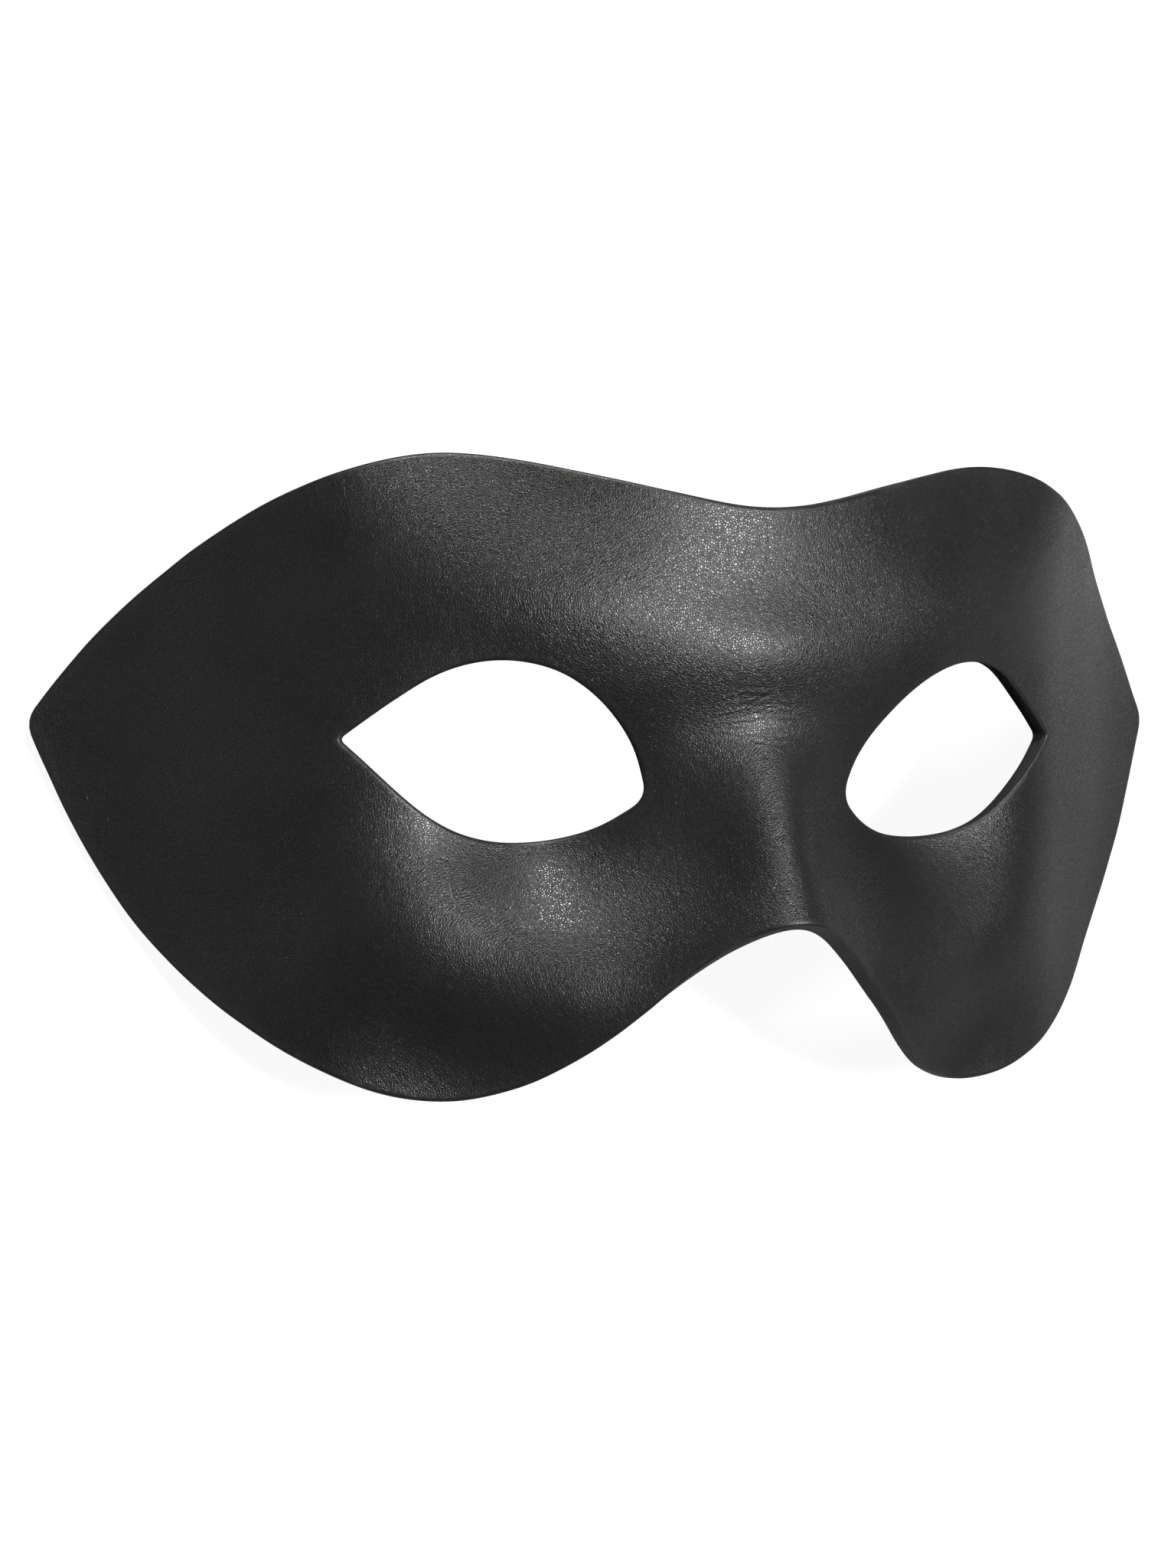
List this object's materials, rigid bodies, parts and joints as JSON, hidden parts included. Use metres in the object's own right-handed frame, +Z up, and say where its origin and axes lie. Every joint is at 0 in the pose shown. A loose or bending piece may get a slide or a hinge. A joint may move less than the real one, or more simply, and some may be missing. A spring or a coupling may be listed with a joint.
{
  "type": "leather half mask",
  "caption": "Half mask moulded from one piece of black leather, with almond eye openings, a raised nose bridge and pointed temples.",
  "frame": {"origin": "on the surface that the mask lies on, under the middle of its outer box", "axes": "+X towards the wearer's left temple, +Y towards the forehead's edge, +Z up, out of the face, as the mask lies face up"},
  "size_m": [0.1748, 0.0812, 0.0502],
  "materials": {
    "leather": "satin black vegetable-tanned leather with a fine grain and burnished cut edges"
  },
  "bodies": {
    "root": {"mask": "leather"}
  },
  "joints": []
}
